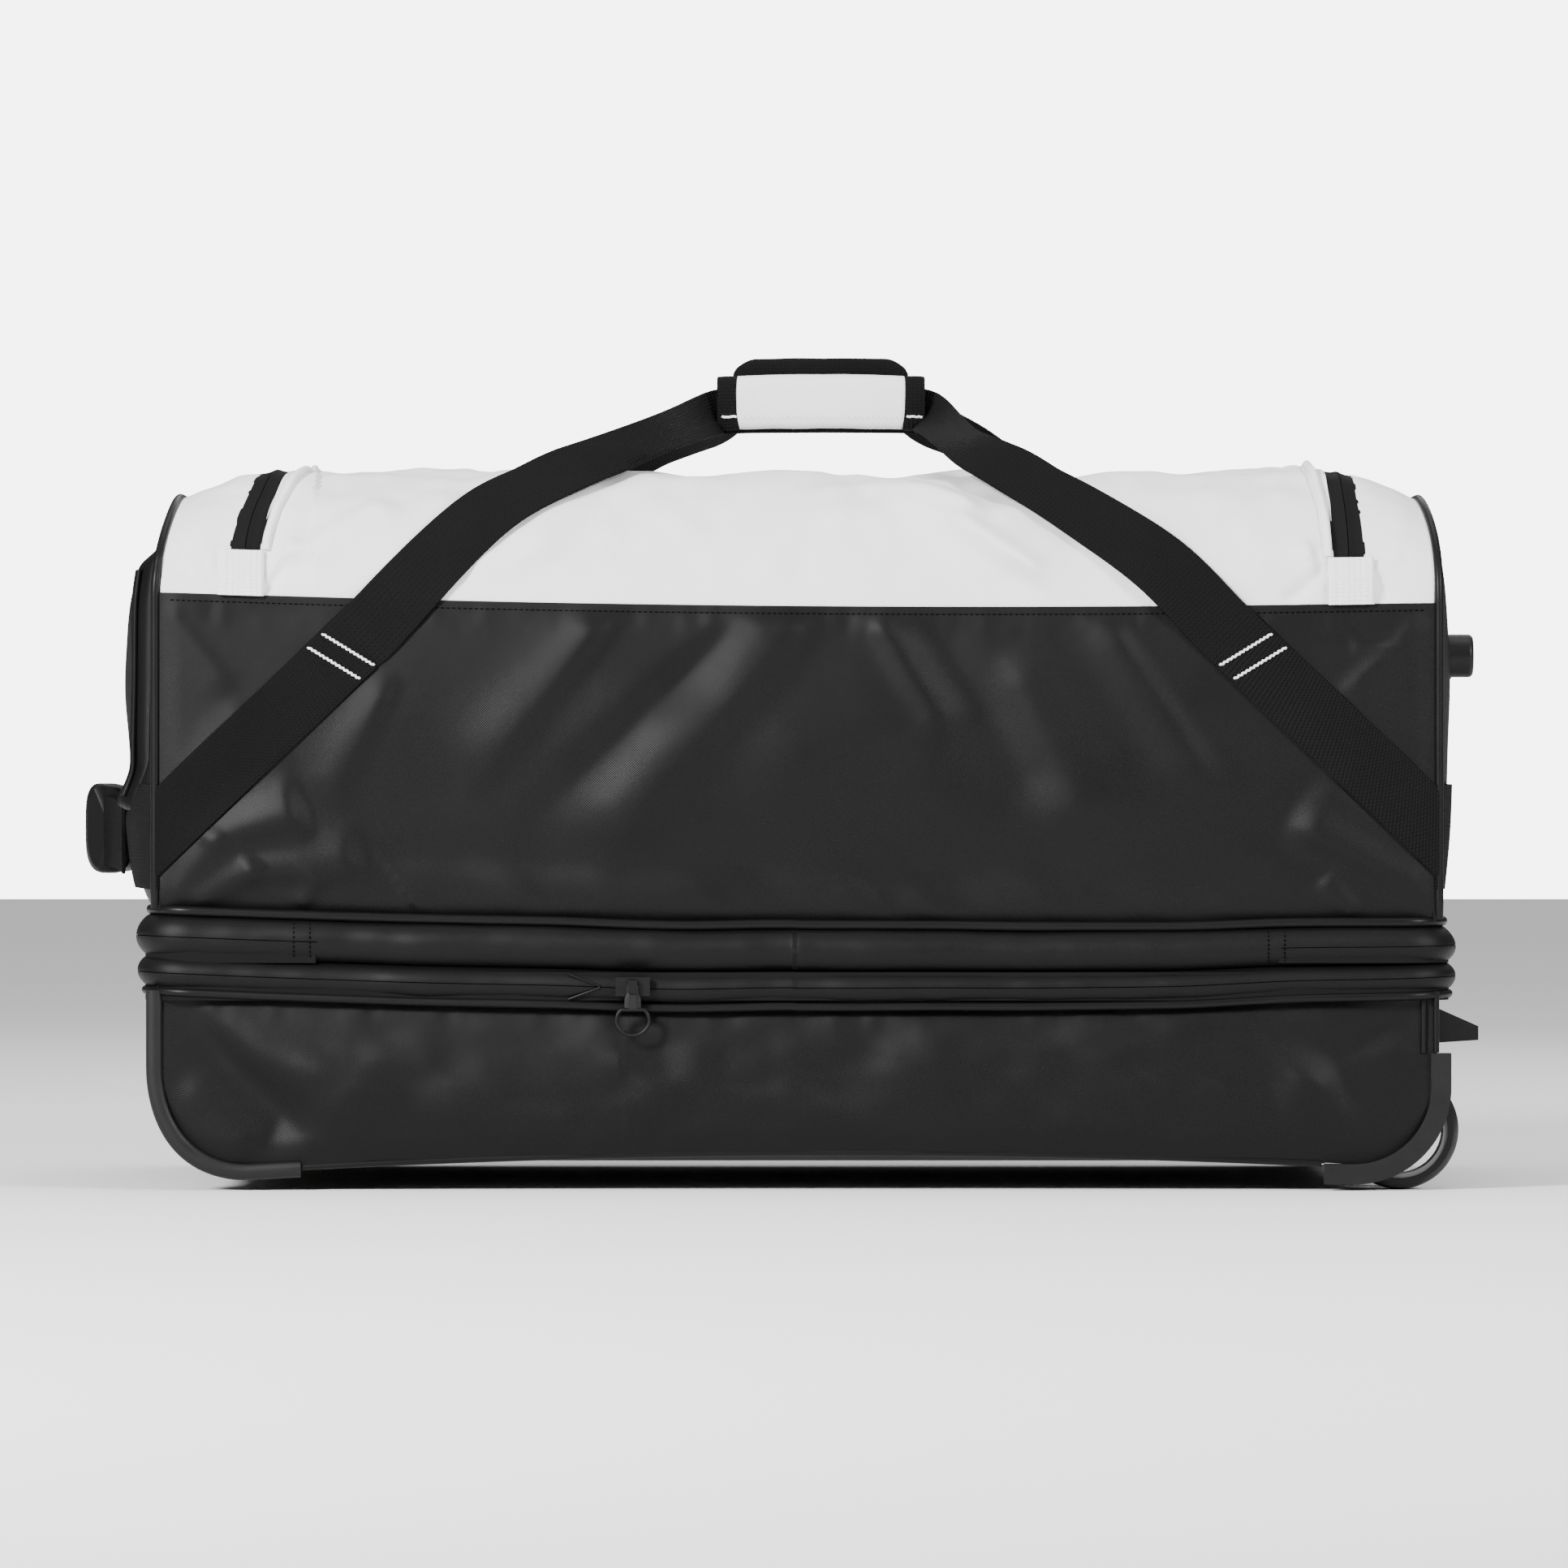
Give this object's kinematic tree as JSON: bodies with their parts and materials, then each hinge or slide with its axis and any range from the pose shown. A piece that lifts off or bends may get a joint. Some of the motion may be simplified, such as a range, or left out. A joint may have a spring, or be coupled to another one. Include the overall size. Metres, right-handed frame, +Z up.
{
  "type": "wheeled hockey equipment bag",
  "caption": "Split-level wheeled hockey equipment bag with a domed zip lid, a clamshell lower compartment, an expansion band, carry loops and an end handle.",
  "frame": {"origin": "on the floor, under the middle of the whole bag's box", "axes": "+X along the bag towards the wheel end, -Y towards the front side the lid and the upper compartment hinge on, +Z up"},
  "size_m": [0.9096, 0.4448, 0.543],
  "materials": {
    "black_fabric": "satin coated weave",
    "white_fabric": "matt coated weave",
    "black_webbing": "matt ribbed webbing",
    "black_plastic": "fine moulded grain",
    "grey_metal": "satin black",
    "tyre_rubber": "smooth",
    "hub_plastic": "moulded",
    "lining": "plain lining",
    "piping_cord": "glossy coated cord",
    "white_thread": "thread"
  },
  "bodies": {
    "base": {"base_board": "lining", "lower_front": "black_fabric", "lower_back": "black_fabric", "bottom_strip": "black_fabric", "base_piping": "piping_cord", "corner_trims": "black_plastic", "wheel_housing_front": "black_plastic", "wheel_housing_back": "black_plastic", "axles": "grey_metal", "bottom_skids": "black_plastic", "lower_feet": "black_plastic", "band_lower": "black_fabric", "expansion_tape_lower": "piping_cord", "bottom_handle": "black_webbing"},
    "wheel_front": {"tyre_front": "tyre_rubber", "hub_front": "hub_plastic", "bearings_front": "grey_metal"},
    "wheel_back": {"tyre_back": "tyre_rubber", "hub_back": "hub_plastic", "bearings_back": "grey_metal"},
    "mid_band": {"band_mid": "black_fabric", "expansion_tape_upper": "piping_cord", "clamshell_tape_lower": "piping_cord", "expansion_gusset": "lining"},
    "upper": {"divider": "lining", "upper_front": "black_fabric", "upper_back": "black_fabric", "end_left": "black_fabric", "end_right": "black_fabric", "top_front": "white_fabric", "top_back": "white_fabric", "top_left": "white_fabric", "top_right": "white_fabric", "end_piping": "piping_cord", "band_upper": "black_fabric", "band_upper_piping": "piping_cord", "clamshell_tape_upper": "piping_cord", "lid_zip_frame": "piping_cord", "webbing_left": "black_webbing", "webbing_right": "black_webbing", "bartacks": "white_thread", "zip_tabs": "white_fabric", "pocket_shell": "black_fabric", "pocket_zip": "piping_cord", "upper_feet": "black_plastic"},
    "lid": {"lid_panel": "white_fabric", "lid_tape": "piping_cord", "lid_piping": "white_fabric"},
    "front_carry": {"front_loop": "black_webbing", "front_grip": "white_fabric"},
    "back_carry": {"back_loop": "black_webbing", "back_grip": "black_fabric"},
    "end_handle": {"end_handle_web": "black_webbing", "end_handle_wrap": "black_fabric"},
    "expansion_runner": {"expansion_slider": "grey_metal"},
    "expansion_tab": {"expansion_pull": "black_plastic"},
    "lid_runner": {"lid_slider": "grey_metal"},
    "lid_tab": {"lid_pull": "black_plastic"},
    "clamshell_runner": {"clamshell_slider": "grey_metal"},
    "clamshell_tab": {"clamshell_pull": "black_plastic"}
  },
  "joints": [
    {"name": "expansion", "type": "slide", "parent": "base", "child": "mid_band", "axis": [0, 0, 1], "range_m": [0, 0.05], "deforming": ["expansion_gusset"]},
    {"name": "clamshell", "type": "hinge", "parent": "mid_band", "child": "upper", "pos_m": [0.01425, -0.212, 0.155], "axis": [1, 0, 0], "range_deg": [0, 85]},
    {"name": "lid", "type": "hinge", "parent": "upper", "child": "lid", "pos_m": [0.01425, -0.1952, 0.405], "axis": [1, 0, 0], "range_deg": [0, 110]},
    {"name": "front_loop_swing", "type": "hinge", "parent": "upper", "child": "front_carry", "pos_m": [0.01425, -0.203, 0.328], "axis": [1, 0, 0], "range_deg": [0, 110]},
    {"name": "back_loop_swing", "type": "hinge", "parent": "upper", "child": "back_carry", "pos_m": [0.01425, 0.203, 0.328], "axis": [-1, 0, 0], "range_deg": [0, 160]},
    {"name": "end_handle_swing", "type": "hinge", "parent": "upper", "child": "end_handle", "pos_m": [-0.39875, 0, 0.211], "axis": [0, -1, 0], "range_deg": [0, 35]},
    {"name": "wheel_front_spin", "type": "hinge", "parent": "base", "child": "wheel_front", "pos_m": [0.40125, -0.176, 0.0385], "axis": [0, 1, 0], "continuous": true},
    {"name": "wheel_back_spin", "type": "hinge", "parent": "base", "child": "wheel_back", "pos_m": [0.40125, 0.176, 0.0385], "axis": [0, 1, 0], "continuous": true},
    {"name": "expansion_zip", "type": "slide", "parent": "base", "child": "expansion_runner", "axis": [1, 0, 0], "range_m": [0, 0.46]},
    {"name": "expansion_pull_swing", "type": "hinge", "parent": "expansion_runner", "child": "expansion_tab", "pos_m": [-0.09075, -0.2194, 0.131], "axis": [-1, 0, 0], "range_deg": [0, 120]},
    {"name": "lid_zip", "type": "slide", "parent": "upper", "child": "lid_runner", "axis": [-1, 0, 0], "range_m": [0, 0.26]},
    {"name": "lid_pull_swing", "type": "hinge", "parent": "lid_runner", "child": "lid_tab", "pos_m": [0.14425, 0.2044, 0.406], "axis": [1, 0, 0], "range_deg": [0, 120]},
    {"name": "clamshell_zip", "type": "slide", "parent": "mid_band", "child": "clamshell_runner", "axis": [-1, 0, 0], "range_m": [0, 0.56]},
    {"name": "clamshell_pull_swing", "type": "hinge", "parent": "clamshell_runner", "child": "clamshell_tab", "pos_m": [0.29425, 0.2194, 0.155], "axis": [1, 0, 0], "range_deg": [0, 120]}
  ],
  "couplings": [
    {"joint": "front_loop_swing", "follows": "lid", "ratio": 1},
    {"joint": "back_loop_swing", "follows": "lid", "ratio": 1.45}
  ]
}
